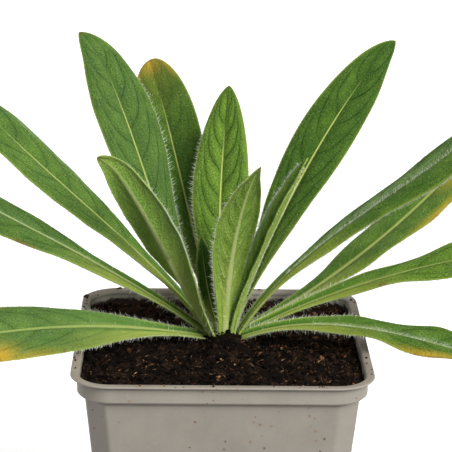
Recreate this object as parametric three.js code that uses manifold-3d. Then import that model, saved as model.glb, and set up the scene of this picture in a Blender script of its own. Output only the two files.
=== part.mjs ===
// A potted viper's bugloss: a square nursery pot, its soil, the crown and fifteen rosette leaves.
// Millimetres, +Z up, origin at the centre of the pot's underside, the open front side at -Y.
import * as THREE from 'three';
import { mergeVertices } from 'three/addons/utils/BufferGeometryUtils.js';
import Module from 'manifold-3d';

const wasm = await Module();
wasm.setup();

// The gap between pieces that touch
const gap = 0.3;

// Pot: half widths are measured from the axis to the flat side. The lip and the skirt have round
// corners. The body's corners are cut off flat, and bodyRound softens the two edges of the cut
const pot = {
  height: 95,
  wall: 0.8,
  floor: 1.2,
  lipHalf: 45,
  lipInnerHalf: 42.9,
  lipThickness: 0.6,
  lipCorner: 11.8,
  skirtHalf: 43.1,
  skirtDrop: 6.2,
  skirtCorner: 10.7,
  bodyTopHalf: 40.8,
  bodyTopCorner: 7,
  baseHalf: 32.2,
  baseCorner: 6,
  bodyRound: 2.2,
  edgeRound: 0.6,
  holeRadius: 3.5,
  holeOffset: 17,
  perCorner: 7,
};

// Soil: levels are measured from the rim, downwards. A small heap stands in front of the crown
const soil = {
  frontDrop: 2.6,
  backDrop: 4.7,
  moundRise: 1,
  moundRadius: 16,
  heap: { x: 1.5, y: -5.5, rise: 4.2, radius: 5 },
  crumbHeight: 0.55,
  crumbWaves: [
    { across: [1.13, 0.4], along: [-0.3, 0.93], shift: 0.9, share: 0.45 },
    { across: [0.71, -0.62], along: [0.55, 0.83], shift: 0.4, share: 0.35 },
    { across: [0.29, 0], along: [0, 0.33], shift: 1.3, share: 0.5 },
  ],
  looseFrom: 12,
  wallMargin: 5,
  perSide: 10,
  rings: 15,
};

// Crown: the short root stock that carries the leaves, sunk in the soil behind the pot's middle
const crown = {
  x: 1,
  y: 4,
  z: pot.height - 2.9,
  radius: 6.8,
  domeRise: 1,
  pitClearance: 0.6,
  seatSlope: 0.15,
  rootDepth: 14,
  sides: 20,
  domeRings: 4,
};

// Tap root below the dome, as shares of the crown's radius and depth, from its tip upwards
const rootProfile = [[0, 1], [0.2, 0.9], [0.45, 0.5], [0.8, 0.2], [1, 0.08], [1, 0]];

// Leaves: section of the leaf stalk and blade. swellStart, waveStart, waveEnd and hookStart are
// shares of a leaf's length
const blade = {
  thickness: 0.7,
  ribThickness: 0.9,
  ribPower: 1.5,
  stalkWidth: 2.6,
  tipWidth: 0.5,
  swellStart: 0.06,
  swellPower: 1.6,
  waveStart: [0.15, 0.45],
  waveEnd: 0.1,
  waveShift: 0.9,
  hookStart: 0.85,
  stations: 22,
  across: 6,
};

// Each leaf starts on the crown at seat [angle, radius] and runs for length mm. Angles are in
// degrees: heading is the compass direction from +X, rise the climb above the horizontal, both
// from stalk to tip, and arch is added at mid length. roll turns the blade about its midrib, fold
// lifts its two halves, wave is the height and number of the waves along the edges, and hook bends
// the tip sideways.
const leaves = {
  leaf_low_left: { seat: [205, 6.2], length: 122, heading: [201, 195], rise: [16, -21], arch: 2,
    width: 20.5, widest: 0.52, blunt: 0.8, roll: [-16, -53], fold: -4, wave: [0.8, 2] },
  leaf_left: { seat: [173, 5], length: 139, heading: [189, 183], rise: [38, 31], arch: -5,
    width: 16.6, widest: 0.7, blunt: 0.8, roll: [-13, -40], fold: -8, wave: [0.6, 3] },
  leaf_left_long: { seat: [203, 3.5], length: 115, heading: [172, 163], rise: [52, 47], arch: -10,
    width: 17.4, widest: 0.65, blunt: 0.8, roll: [4, -31], fold: 2, wave: [0.5, 3] },
  leaf_tall_left: { seat: [135, 4.8], length: 103, heading: [160, 149], rise: [53, 53], arch: 16,
    width: 20.5, widest: 0.64, blunt: 0.71, roll: [-11, -36], fold: 5, wave: [0.5, 2], hook: 15 },
  leaf_back: { seat: [102, 5], length: 102, heading: [113, 107], rise: [42, 31], arch: 13,
    width: 20.5, widest: 0.7, blunt: 0.53, roll: [0, -35], fold: 6, wave: [0.6, 2] },
  leaf_front_left: { seat: [240, 5.2], length: 76.5, heading: [214, 208], rise: [57, 52], arch: 6,
    width: 16.4, widest: 0.38, blunt: 0.61, roll: [-33, 74], fold: 9, wave: [0.4, 2], hook: -22 },
  leaf_centre: { seat: [88, 2.6], length: 79, heading: [102, 73], rise: [63, 72], arch: -4,
    width: 18, widest: 0.56, blunt: 0.68, roll: [-6, 2], fold: 6, wave: [0.5, 2] },
  leaf_front_right: { seat: [267, 4.8], length: 64, heading: [304, 302], rise: [90, 56], arch: 2,
    width: 14, widest: 0.54, blunt: 1, roll: [10, -16], fold: 3, wave: [0.3, 2], hook: 8 },
  leaf_folded: { seat: [305.5, 3.6], length: 66, heading: [342, 325], rise: [81, 67], arch: -8,
    width: 6, widest: 0.7, blunt: 0.8, roll: [52, 58], fold: 45, wave: [0.3, 2] },
  leaf_tall_right: { seat: [59, 4.4], length: 109, heading: [32, 40], rise: [65, 37.5], arch: 3,
    width: 18, widest: 0.62, blunt: 0.7, roll: [7, 68], fold: 14, wave: [0.5, 3], hook: -8 },
  leaf_right: { seat: [0, 3.9], length: 124, heading: [1, 4], rise: [60.5, 53.5], arch: -21,
    width: 15, widest: 0.69, blunt: 0.8, roll: [12, 22], fold: -9, wave: [0.6, 3] },
  leaf_back_right: { seat: [34, 6.2], length: 134, heading: [37, 45], rise: [9, 28.5], arch: 5,
    width: 18.5, widest: 0.6, blunt: 0.8, roll: [-11, 16], fold: 5, wave: [0.7, 3] },
  leaf_wavy: { seat: [6, 6.2], length: 141, heading: [-4, -6], rise: [31, 6], arch: -4,
    width: 15.6, widest: 0.73, blunt: 0.8, roll: [19, 39], fold: 5, wave: [1.4, 4] },
  leaf_low_right: { seat: [333, 6.2], length: 120, heading: [-20, -14], rise: [27, -8], arch: -19,
    width: 16, widest: 0.6, blunt: 0.8, roll: [20, 0], fold: 3, wave: [1.2, 4] },
  leaf_inner: { seat: [185, 1.6], length: 31, heading: [131, 130], rise: [63, 85], arch: -1,
    width: 8.4, widest: 0.5, blunt: 0.8, roll: [0, 0], fold: 15, wave: [0, 1] },
};

const radians = THREE.MathUtils.degToRad;
const lerp = THREE.MathUtils.lerp;
const smoothstep = THREE.MathUtils.smoothstep;

// A square ring at height z, anticlockwise seen from above. Its corners start corner mm before the
// sides would meet, and are round, or cut off flat where round is smaller than corner
function squareRing(half, corner, z, perSide = 1, round = corner) {
  const up = new THREE.Vector3(0, 0, 1);
  const ring = [];
  const centre = half - corner;
  for (let quarter = 0; quarter < 4; quarter++) {
    const turn = quarter * Math.PI / 2;
    for (let k = 0; k <= pot.perCorner; k++) {
      const angle = k / pot.perCorner * Math.PI / 2;
      const point = new THREE.Vector3(Math.cos(angle), Math.sin(angle), 0).multiplyScalar(round);
      const atSide = 2 * k < pot.perCorner;
      point.x += atSide ? half - round : centre;
      point.y += atSide ? centre : half - round;
      point.z = z;
      ring.push(point.applyAxisAngle(up, turn));
    }
    for (let k = 1; k < perSide; k++) {
      const x = lerp(centre, -centre, k / perSide);
      ring.push(new THREE.Vector3(x, half, z).applyAxisAngle(up, turn));
    }
  }
  return ring;
}

function geometryFrom(points, triangles) {
  const geometry = new THREE.BufferGeometry().setFromPoints(points);
  geometry.setIndex(triangles);
  return geometry;
}

// A closed body through rings of equal count, with a fan over the first and the last ring
function stack(rings) {
  const count = rings[0].length;
  const points = rings.flat();
  const triangles = [];
  for (let r = 0; r + 1 < rings.length; r++) {
    for (let k = 0; k < count; k++) {
      const a = r * count + k;
      const b = r * count + (k + 1) % count;
      triangles.push(a, b, a + count, b, b + count, a + count);
    }
  }
  const first = points.length;
  points.push(middle(rings[0]), middle(rings.at(-1)));
  const top = (rings.length - 1) * count;
  for (let k = 0; k < count; k++) {
    triangles.push(first, (k + 1) % count, k);
    triangles.push(first + 1, top + k, top + (k + 1) % count);
  }
  return geometryFrom(points, triangles);
}

function middle(ring) {
  const sum = ring.reduce((total, point) => total.add(point), new THREE.Vector3());
  return sum.divideScalar(ring.length);
}

function toManifold(geometry) {
  const bare = geometry.clone();
  bare.deleteAttribute('normal');
  bare.deleteAttribute('uv');
  const merged = mergeVertices(bare, 1e-4);
  return new wasm.Manifold(new wasm.Mesh({
    numProp: 3,
    vertProperties: new Float32Array(merged.attributes.position.array),
    triVerts: new Uint32Array(merged.index.array),
  }));
}

function toGeometry(solid) {
  const mesh = solid.getMesh();
  const geometry = new THREE.BufferGeometry();
  geometry.setAttribute('position', new THREE.BufferAttribute(mesh.vertProperties, 3));
  geometry.setIndex(new THREE.BufferAttribute(mesh.triVerts, 1));
  return geometry;
}

// An upright round tool for the boolean cuts, from z0 to z1
function uprightCylinder(radius, x, y, z0, z1, sides = 24) {
  const cylinder = new THREE.CylinderGeometry(radius, radius, z1 - z0, sides);
  cylinder.rotateX(Math.PI / 2);
  cylinder.translate(x, y, (z0 + z1) / 2);
  return toManifold(cylinder);
}

// Pot body below the step: half width and corner of the outside at height z, and its ring, set in
// from the outside by depth
const stepZ = pot.height - pot.skirtDrop;
const bodyHalf = (z) => lerp(pot.baseHalf, pot.bodyTopHalf, z / stepZ);
const bodyCorner = (z) => lerp(pot.baseCorner, pot.bodyTopCorner, z / stepZ);

function bodyRing(bodyZ, z, depth, perSide = 1) {
  const half = bodyHalf(bodyZ) - depth;
  return squareRing(half, bodyCorner(bodyZ) - depth, z, perSide, pot.bodyRound - depth);
}

// The pot is one loop of rings: up the outside, over the lip and down the inside to the floor
function potGeometry() {
  const { height, wall, floor, edgeRound } = pot;
  const lipZ = height - pot.lipThickness;
  const lipEdge = pot.lipThickness / 4;
  const lipInnerCorner = pot.lipCorner - (pot.lipHalf - pot.lipInnerHalf);
  const skirtInside = pot.skirtHalf - wall;
  const ledgeZ = stepZ + wall;
  const rings = [
    bodyRing(0, 0, edgeRound),
    bodyRing(edgeRound, edgeRound, 0),
    bodyRing(stepZ, stepZ, 0),
    squareRing(pot.skirtHalf - edgeRound, pot.skirtCorner - edgeRound, stepZ),
    squareRing(pot.skirtHalf, pot.skirtCorner, stepZ + edgeRound),
    squareRing(pot.skirtHalf, pot.skirtCorner, lipZ),
    squareRing(pot.lipHalf - lipEdge, pot.lipCorner - lipEdge, lipZ),
    squareRing(pot.lipHalf, pot.lipCorner, lipZ + lipEdge),
    squareRing(pot.lipHalf, pot.lipCorner, height - lipEdge),
    squareRing(pot.lipHalf - lipEdge, pot.lipCorner - lipEdge, height),
    squareRing(pot.lipInnerHalf, lipInnerCorner, height),
    squareRing(skirtInside, pot.skirtCorner - wall, height - pot.lipThickness * 2),
    squareRing(skirtInside, pot.skirtCorner - wall, ledgeZ),
    bodyRing(stepZ, ledgeZ, wall),
    bodyRing(floor, floor, wall),
  ];
  let solid = toManifold(stack(rings));
  for (const [sx, sy] of [[1, 1], [-1, 1], [-1, -1], [1, -1]]) {
    const { holeRadius, holeOffset } = pot;
    solid = solid.subtract(
      uprightCylinder(holeRadius, sx * holeOffset, sy * holeOffset, -floor, 2 * floor));
  }
  return toGeometry(solid);
}

// Small lumps of peat: crossed waves that don't repeat over the pot
function crumbs(x, y) {
  let height = 0;
  for (const { across, along, shift, share } of soil.crumbWaves) {
    const first = Math.sin(across[0] * x + across[1] * y + shift);
    const second = Math.sin(along[0] * x + along[1] * y - shift);
    height += share * first * second;
  }
  return height;
}

// Height of the soil: higher at the front wall than at the back, with a mound round the crown
function soilHeight(x, y) {
  const wallHalf = pot.skirtHalf - pot.wall;
  const drop = lerp(soil.frontDrop, soil.backDrop, (y + wallHalf) / (2 * wallHalf));
  const fromCrown = Math.hypot(x - crown.x, y - crown.y);
  const mound = soil.moundRise * Math.exp(-((fromCrown / soil.moundRadius) ** 2));
  const { heap } = soil;
  const fromHeap = Math.hypot(x - heap.x, y - heap.y);
  const heaped = heap.rise * Math.exp(-((fromHeap / heap.radius) ** 2));
  const toWall = wallHalf - Math.max(Math.abs(x), Math.abs(y));
  const loose = smoothstep(toWall, 0, soil.wallMargin)
    * smoothstep(fromCrown, crown.radius, soil.looseFrom);
  return pot.height - drop + mound + heaped + soil.crumbHeight * loose * crumbs(x, y);
}

// The soil fills the pot, with a pit for the crown
function soilGeometry() {
  const { wall, floor } = pot;
  const ledgeZ = stepZ + wall + gap;
  const bottomZ = floor + gap;
  const ring = (half, corner, z) => squareRing(half, corner, z, soil.perSide);
  const topHalf = pot.skirtHalf - wall - gap;
  const topCorner = pot.skirtCorner - wall - gap;
  const rings = [
    bodyRing(bottomZ, bottomZ, wall + gap, soil.perSide),
    bodyRing(stepZ, ledgeZ, wall + gap, soil.perSide),
    ring(topHalf, topCorner, ledgeZ),
  ];
  for (let k = soil.rings; k > 0; k--) {
    const scale = k / soil.rings;
    rings.push(ring(topHalf, topCorner, 0).map((point) => {
      const [x, y] = [point.x * scale, point.y * scale];
      return new THREE.Vector3(x, y, soilHeight(x, y));
    }));
  }
  const pit = uprightCylinder(crown.radius + crown.pitClearance, crown.x, crown.y,
    crown.z - crown.rootDepth - gap, pot.height + soil.heap.rise);
  return toGeometry(toManifold(stack(rings)).subtract(pit));
}

const domeHeight = (radius) => crown.domeRise * (1 - (radius / crown.radius) ** 2);

// The crown is a low dome over a short tapered tap root
function crownGeometry() {
  const { radius, rootDepth, domeRings } = crown;
  const profile = rootProfile.map(([share, depth]) => (
    new THREE.Vector2(radius * share, -rootDepth * depth)));
  for (let k = 1; k <= domeRings; k++) {
    const r = radius * (1 - k / domeRings);
    profile.push(new THREE.Vector2(r, domeHeight(r)));
  }
  const geometry = new THREE.LatheGeometry(profile, crown.sides);
  geometry.rotateX(Math.PI / 2);
  geometry.deleteAttribute('normal');
  geometry.deleteAttribute('uv');
  return mergeVertices(geometry, 1e-4);
}

// Full width of a leaf at t, from 0 at the stalk to 1 at the tip
function leafWidth(leaf, t) {
  if (t < leaf.widest) {
    const { swellStart, swellPower } = blade;
    const toWidest = Math.max(0, (t - swellStart) / (leaf.widest - swellStart));
    const swell = Math.sin(Math.PI / 2 * toWidest) ** swellPower;
    return lerp(Math.min(blade.stalkWidth, leaf.width / 2), leaf.width, swell);
  }
  const toTip = (t - leaf.widest) / (1 - leaf.widest);
  return Math.max(blade.tipWidth, leaf.width * (1 - toTip ** 2) ** leaf.blunt);
}

// The stations of a leaf: midrib point, the way across it and the way out of its upper face
function leafStations(leaf) {
  const along = (pair, t) => radians(lerp(pair[0], pair[1], t));
  const [seatAngle, seatRadius] = leaf.seat;
  const { hook = 0 } = leaf;
  const depth = (blade.thickness + blade.ribThickness) * Math.cos(radians(leaf.rise[0]));
  const point = new THREE.Vector3(
    crown.x + seatRadius * Math.cos(radians(seatAngle)),
    crown.y + seatRadius * Math.sin(radians(seatAngle)),
    crown.z + domeHeight(seatRadius) + gap + crown.seatSlope + depth);
  const stations = [];
  let last = null;
  for (let k = 0; k <= blade.stations; k++) {
    const t = k / blade.stations;
    const heading = along(leaf.heading, t);
    const rise = along(leaf.rise, t) + radians(leaf.arch) * 4 * t * (1 - t);
    const ahead = new THREE.Vector3(
      Math.cos(rise) * Math.cos(heading), Math.cos(rise) * Math.sin(heading), Math.sin(rise));
    const level = new THREE.Vector3(-Math.sin(heading), Math.cos(heading), 0);
    const across = level.applyAxisAngle(ahead, along(leaf.roll, t));
    const out = new THREE.Vector3().crossVectors(ahead, across);
    const bend = radians(hook) * smoothstep(t, blade.hookStart, 1);
    ahead.applyAxisAngle(out, bend);
    across.applyAxisAngle(out, bend);
    if (last) {
      point.addScaledVector(last.clone().add(ahead), leaf.length / blade.stations / 2);
    }
    last = ahead;
    stations.push({ t, point: point.clone(), across, out });
  }
  return stations;
}

// A leaf is one thin closed body: an upper and a lower grid with the same diagonals, thicker
// along the midrib, joined round the edge
function leafGeometry(leaf) {
  const stations = leafStations(leaf);
  const columns = blade.across + 1;
  const fold = radians(leaf.fold);
  const upper = [];
  const lower = [];
  for (const { t, point, across, out } of stations) {
    const half = leafWidth(leaf, t) / 2;
    const [waveHeight, waveCount] = leaf.wave;
    const fade = smoothstep(t, ...blade.waveStart) * smoothstep(1 - t, 0, blade.waveEnd);
    for (let c = 0; c < columns; c++) {
      const u = 1 - 2 * c / blade.across;
      const turn = 2 * Math.PI * waveCount * t + Math.sign(u) * blade.waveShift;
      const wave = waveHeight * fade * u * u * Math.sin(turn);
      const top = point.clone()
        .addScaledVector(across, half * u * Math.cos(fold))
        .addScaledVector(out, half * Math.abs(u) * Math.sin(fold) + wave);
      const rib = blade.ribThickness * (1 - t) * (1 - Math.abs(u)) ** blade.ribPower;
      const depth = blade.thickness / Math.cos(fold) + rib;
      upper.push(top);
      lower.push(top.clone().addScaledVector(out, -depth));
    }
  }
  const points = [...upper, ...lower];
  const under = upper.length;
  const triangles = [];
  const quad = (a, b, c, d) => triangles.push(a, b, c, a, c, d);
  for (let s = 0; s < blade.stations; s++) {
    for (let c = 0; c < blade.across; c++) {
      const a = s * columns + c;
      const [b, d] = [a + 1, a + columns];
      triangles.push(a, b, d + 1, a, d + 1, d);
      triangles.push(under + a, under + d + 1, under + b, under + a, under + d, under + d + 1);
    }
    const left = s * columns;
    const right = left + blade.across;
    quad(left, left + columns, under + left + columns, under + left);
    quad(right + columns, right, under + right, under + right + columns);
  }
  const end = blade.stations * columns;
  for (let c = 0; c < blade.across; c++) {
    quad(c + 1, c, under + c, under + c + 1);
    quad(end + c, end + c + 1, under + end + c + 1, under + end + c);
  }
  return geometryFrom(points, triangles);
}

function piece(name, geometry, material) {
  const mesh = new THREE.Mesh(geometry, material);
  mesh.name = name;
  return mesh;
}

const finish = (color, roughness) => new THREE.MeshStandardMaterial({ color, roughness, metalness: 0 });
const potPlastic = finish(0x9b968c, 0.55);
const peat = finish(0x241c15, 0.95);
const crownGreen = finish(0x8a9a4c, 0.7);
const leafGreen = finish(0x4d7a2c, 0.65);

const group = new THREE.Group();
group.add(piece('pot', potGeometry(), potPlastic));
group.add(piece('soil', soilGeometry(), peat));

const plant = new THREE.Group();
const crownPiece = piece('crown', crownGeometry(), crownGreen);
crownPiece.position.set(crown.x, crown.y, crown.z);
plant.add(crownPiece);
for (const [name, leaf] of Object.entries(leaves)) {
  plant.add(piece(name, leafGeometry(leaf), leafGreen));
}
group.add(plant);

export default group;
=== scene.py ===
import math
from functools import partial

import bmesh
import bpy
import numpy as np
from mathutils import Matrix, Vector


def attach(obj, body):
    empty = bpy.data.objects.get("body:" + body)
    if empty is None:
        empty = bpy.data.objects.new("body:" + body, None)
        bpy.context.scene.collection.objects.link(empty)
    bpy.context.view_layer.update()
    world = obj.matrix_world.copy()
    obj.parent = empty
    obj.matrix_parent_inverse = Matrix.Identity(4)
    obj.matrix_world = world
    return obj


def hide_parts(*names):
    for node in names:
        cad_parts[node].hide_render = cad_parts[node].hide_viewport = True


# A young viper's bugloss in a square nursery pot. Sizes are in millimetres and become metres in
# the meshes, with +Z up, the origin at the centre of the pot's underside and the front at -Y.
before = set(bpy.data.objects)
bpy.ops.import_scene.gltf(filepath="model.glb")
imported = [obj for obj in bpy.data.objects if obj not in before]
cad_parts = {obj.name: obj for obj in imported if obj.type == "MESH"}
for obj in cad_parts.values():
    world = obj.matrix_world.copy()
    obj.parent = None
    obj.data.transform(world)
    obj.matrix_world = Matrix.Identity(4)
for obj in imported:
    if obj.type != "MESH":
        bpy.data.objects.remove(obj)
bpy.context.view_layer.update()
mm = 0.001
bpy.ops.object.select_all(action="DESELECT")
print("frame loaded:", len(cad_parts), "nodes")

cameraView = {
    "rimHeight": 95,
    "distance": 595,  # from the middle of the pot's rim
    "lookDown": 16.8,
    "turn": 1.2,
    "tilt": 0.87,
    "moveRight": 1.49,
    "moveUp": 33.9,
    "lens": 151.96,
}


def placeCamera(view):
    down, turn, tilt = (math.radians(view[key]) for key in ("lookDown", "turn", "tilt"))
    flat = math.cos(down)
    ahead = Vector((math.sin(turn) * flat, math.cos(turn) * flat, -math.sin(down)))
    level = Vector((math.cos(turn), -math.sin(turn), 0))
    upright = level.cross(ahead)
    right = level * math.cos(tilt) + upright * math.sin(tilt)
    up = upright * math.cos(tilt) - level * math.sin(tilt)
    place = Vector((0, 0, view["rimHeight"])) - ahead * view["distance"]
    place += right * view["moveRight"] + up * view["moveUp"]
    bpy.ops.object.camera_add(location=place * mm)
    camera = bpy.context.object
    camera.rotation_euler = Matrix((right, up, -ahead)).transposed().to_euler()
    camera.data.sensor_width = 36
    camera.data.lens = view["lens"]
    camera.data.clip_start = 0.01
    camera.data.clip_end = 30
    bpy.context.scene.camera = camera


placeCamera(cameraView)

studio = {
    "sky": 0.3,
    "lamps": [
        # name, way it comes from, spread in degrees, watts to the square metre
        ("keyLight", (0.5, -0.65, 0.57), 35, 3.75),
        ("topLight", (-0.1, 0.2, 1.0), 60, 0.5),
        ("backLight", (-0.7, 0.6, 0.35), 60, 0.9),
    ],
}


def lightStudio(settings):
    world = bpy.data.worlds.new("whiteRoom")
    bpy.context.scene.world = world
    world.use_nodes = True
    world.node_tree.nodes["Background"].inputs["Color"].default_value = (1, 1, 1, 1)
    world.node_tree.nodes["Background"].inputs["Strength"].default_value = settings["sky"]
    for name, way, spread, watts in settings["lamps"]:
        bpy.ops.object.light_add(type="SUN", location=way)
        lamp = bpy.context.object
        lamp.name = name
        lamp.data.angle = math.radians(spread)
        lamp.data.energy = watts
        lamp.rotation_euler = (-Vector(way)).to_track_quat("-Z", "Y").to_euler()
    bpy.context.scene.view_settings.view_transform = "Standard"


lightStudio(studio)
print("camera and lamps placed")


# An sRGB hex colour as linear red, green, blue and alpha
def linear(hexColour):
    parts = [int(hexColour[k:k + 2], 16) / 255 for k in (1, 3, 5)]
    return [c / 12.92 if c <= 0.04045 else ((c + 0.055) / 1.055) ** 2.4 for c in parts] + [1]


# Adds a node with its settings and links, and gives back one of its outputs. Inputs are listed in
# the order of the sockets, or by socket in a dictionary
def addNode(tree, kind, inputs=(), out=0, stops=None, **settings):
    made = tree.nodes.new("ShaderNode" + kind)
    for name, value in settings.items():
        setattr(made, name, value)
    if stops:
        elements = made.color_ramp.elements
        while len(elements) < len(stops):
            elements.new(0.5)
        for element, (place, colour) in zip(elements, stops):
            element.position = place
            element.color = linear(colour)
    named = isinstance(inputs, dict)
    for socket, value in inputs.items() if named else enumerate(inputs):
        if isinstance(value, bpy.types.NodeSocket):
            tree.links.new(value, made.inputs[socket])
        elif isinstance(value, str):
            made.inputs[socket].default_value = linear(value)
        else:
            made.inputs[socket].default_value = value
    return made.outputs[out] if made.outputs else None


def newMaterial(name):
    material = bpy.data.materials.new(name)
    material.use_nodes = True
    material.node_tree.nodes.clear()
    return material, partial(addNode, material.node_tree)


# Injection-moulded polypropylene: matt warm grey with a faint flow mottle, a fine moulded grain,
# rusty specks of dried peat, painted shade lines under the lip and the skirt, dust and painted
# shade on the upward faces, and peat on the inner wall
def mouldedPolypropylene():
    material, add = newMaterial("moulded polypropylene")
    spot = add("TexCoord", out="Object")
    facing = add("TexCoord", out="Normal")
    height = add("SeparateXYZ", [spot], out=2)
    mottle = add("TexNoise", {"Vector": spot, "Scale": 1000 / 14, "Detail": 4, "Roughness": 0.6})
    grey = add("ValToRGB", [mottle], stops=[(0.3, "#999287"), (0.7, "#a59e93")])
    scuff = add("TexNoise", {"Vector": spot, "Scale": 1000 / 0.7, "Detail": 3})
    layers = [(add("MapRange", [scuff, 0.55, 0.75]), 0.3, "#b1aa9e")]  # mask, strength, colour
    # Painted shade: dark lines 0.9 mm under the skirt's edge and 0.8 mm under the lip, standing for
    # the shade under these overhangs, uneven along their length
    patchy = add("TexNoise", {"Vector": spot, "Scale": 1000 / 9, "Detail": 3})
    patchy = add("MapRange", [patchy, 0.3, 0.7, 0.25, 0.65])
    for middle, reach in ((0.0879, 0.0008), (0.0936, 0.0006)):
        away = add("Math", [height, middle], operation="SUBTRACT")
        away = add("Math", [away], operation="ABSOLUTE")
        line = add("MapRange", [away, reach, 0], interpolation_type="SMOOTHSTEP")
        layers.append((line, patchy, "#544c42"))
    # Dust lies on what faces up, most of all on the lip, and with it painted shade: the upward
    # faces are darkened against the extra light that falls on them
    upward = add("SeparateXYZ", [facing], out=2)
    layers.append((add("MapRange", [upward, 0.4, 0.9, 0, 1.15]), patchy, "#84786a"))
    # Specks of 0.3 to 1.2 mm: a cell every 2.6 mm, most of them empty, ragged at the edge
    rag = add("TexNoise", {"Vector": spot, "Scale": 1000 / 0.7, "Detail": 3}, out=1)
    ragged = add("VectorMath", [rag, (0.0009, 0.0009, 0.0009), spot], operation="MULTIPLY_ADD")
    cells = add("TexVoronoi", {"Vector": ragged, "Scale": 1000 / 2.6})
    size = add("TexNoise", {"Vector": spot, "Scale": 1000 / 6, "Detail": 2})
    reach = add("MapRange", [size, 0.43, 0.6, 0, 0.17])
    marks = add("Math", [cells, reach], operation="LESS_THAN")
    rust = add("ValToRGB", [cells.node.outputs["Color"]],
               stops=[(0.3, "#45281b"), (0.5, "#744530"), (0.7, "#9a7353")])
    # Peat that clings to the inner wall, whose faces look towards the pot's axis
    level = add("VectorMath", [spot, (1, 1, 0)], operation="MULTIPLY")
    outward = add("VectorMath", [level, facing], out="Value", operation="DOT_PRODUCT")
    inside = add("Math", [outward, -0.004], operation="LESS_THAN")
    above = add("Math", [height, 0.0893], operation="GREATER_THAN")
    low = add("MapRange", [height, 0.0903, 0.0936, 0.36, -0.14])
    clump = add("TexNoise", {"Vector": spot, "Scale": 1000 / 3.2, "Detail": 6, "Roughness": 0.7})
    dirt = add("Math", [clump, low], operation="ADD")
    dirt = add("MapRange", [dirt, 0.54, 0.64, 0, inside])
    for mask, strength, over in layers + [(marks, 0.75, rust), (dirt, above, "#2a1d14")]:
        share = add("Math", [mask, strength], operation="MULTIPLY")
        grey = add("Mix", {0: share, 6: grey, 7: over}, out=2, data_type="RGBA")
    grain = add("TexNoise", {"Vector": spot, "Scale": 1000 / 0.5, "Detail": 2})
    bumped = add("Bump", {"Strength": 0.25, "Distance": 0.00008, "Height": grain})
    # The last share is that of the dirt, which stands out a little
    bumped = add("Bump", {"Strength": 0.8, "Distance": 0.0004, "Height": share, "Normal": bumped})
    gloss = add("MapRange", [scuff, 0.3, 0.7, 0.48, 0.6])
    add("OutputMaterial", [add("BsdfPrincipled", {
        "Base Color": grey, "Roughness": gloss, "IOR": 1.49, "Specular IOR Level": 0.3,
        "Normal": bumped})])
    return material


# Moist sphagnum peat, sieved: almost black, crumbly and light-swallowing, with rusty fibre in it,
# redder at the back where it is drier
def moistPeat():
    material, add = newMaterial("moist peat")
    spot = add("TexCoord", out="Object")
    lumps = add("TexNoise", {"Vector": spot, "Scale": 1000 / 1.4, "Detail": 8, "Roughness": 0.8})
    patch = add("TexNoise", {"Vector": spot, "Scale": 1000 / 7, "Detail": 2})
    patch = add("MapRange", [patch, 0.35, 0.65, -0.1, 0.1])
    tone = add("Math", [lumps, patch], operation="ADD")
    colour = add("ValToRGB", [tone],
                 stops=[(0.34, "#060403"), (0.5, "#150f0b"), (0.61, "#2c2018"), (0.72, "#4f3524")])
    depth = add("SeparateXYZ", [spot], out=1)
    dry = add("MapRange", [depth, 0.0, 0.036, 0, 0.4])
    colour = add("Mix", {0: dry, 6: colour, 7: "#3d2318"}, out=2, data_type="RGBA")
    grit = add("TexVoronoi", {"Vector": spot, "Scale": 1000 / 0.8})
    bumped = add("Bump", {"Strength": 1.0, "Distance": 0.0009, "Height": lumps})
    bumped = add("Bump", {"Strength": 0.8, "Distance": 0.0004, "Height": grit, "Normal": bumped})
    add("OutputMaterial", [add("BsdfPrincipled", {
        "Base Color": colour, "Roughness": 0.85, "Specular IOR Level": 0.07, "Normal": bumped})])
    return material


# Loose peat, bark and straw: each bit has its own tone, from black crumbs to tan straw
def loosePeat():
    material, add = newMaterial("loose peat and bark")
    tone = add("Attribute", out="Fac", attribute_name="tone")
    spot = add("TexCoord", out="Object")
    grain = add("TexNoise", {"Vector": spot, "Scale": 1000 / 0.6, "Detail": 4, "Roughness": 0.7})
    shade = add("MapRange", [grain, 0.3, 0.7, -0.22, 0.22])
    toned = add("Math", [tone, shade], operation="ADD")
    colour = add("ValToRGB", [toned], stops=[
        (0.0, "#040302"), (0.42, "#150f0a"), (0.6, "#2e2118"), (0.76, "#5a3a28"), (0.9, "#8f6544"),
        (1.0, "#d2b284")])
    bumped = add("Bump", {"Strength": 0.8, "Distance": 0.0003, "Height": grain})
    add("OutputMaterial", [add("BsdfPrincipled", {
        "Base Color": colour, "Roughness": 0.85, "Specular IOR Level": 0.07, "Normal": bumped})])
    return material


# Living leaf, upper face: bristly matt cuticle over a fine net of veins. The side veins are sunk
# and dark, the midrib is pale, and short hairs lie over it like dust
upperFace = {
    "name": "leaf cuticle, upper face",
    "deep": "#2b4f15", "mid": "#476a22", "light": "#7a9f37",
    "net": "#33591a", "netShare": 0.14, "speck": "#82a044", "speckShare": 0.2,
    "vein": "#23490f", "veinShare": 0.6, "secondShare": 0.16, "veinRaise": -1, "valleyShade": 0.4,
    "rib": "#c6cf74", "ribTip": "#2c5513", "ribFrom": 1.2, "ribTo": 0.7, "ribFade": (0.68, 0.86),
    "ribSideShade": 0.3,
    # Across the stalk, from the side at the back to the front side, which is painted paler as
    # painted light
    "stripesAndLitSide": [(0, "#9aac5c"), (0.07, "#5f8d2c"), (0.38, "#4f7f27"), (0.45, "#b4be66"),
                (0.54, "#b4be66"), (0.61, "#557f28"), (0.72, "#a6b24a"), (0.94, "#b2b64f")],
    "stalkEnd": 0.42,
    "margin": "#9db04a", "roughness": 0.6,
}
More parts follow.
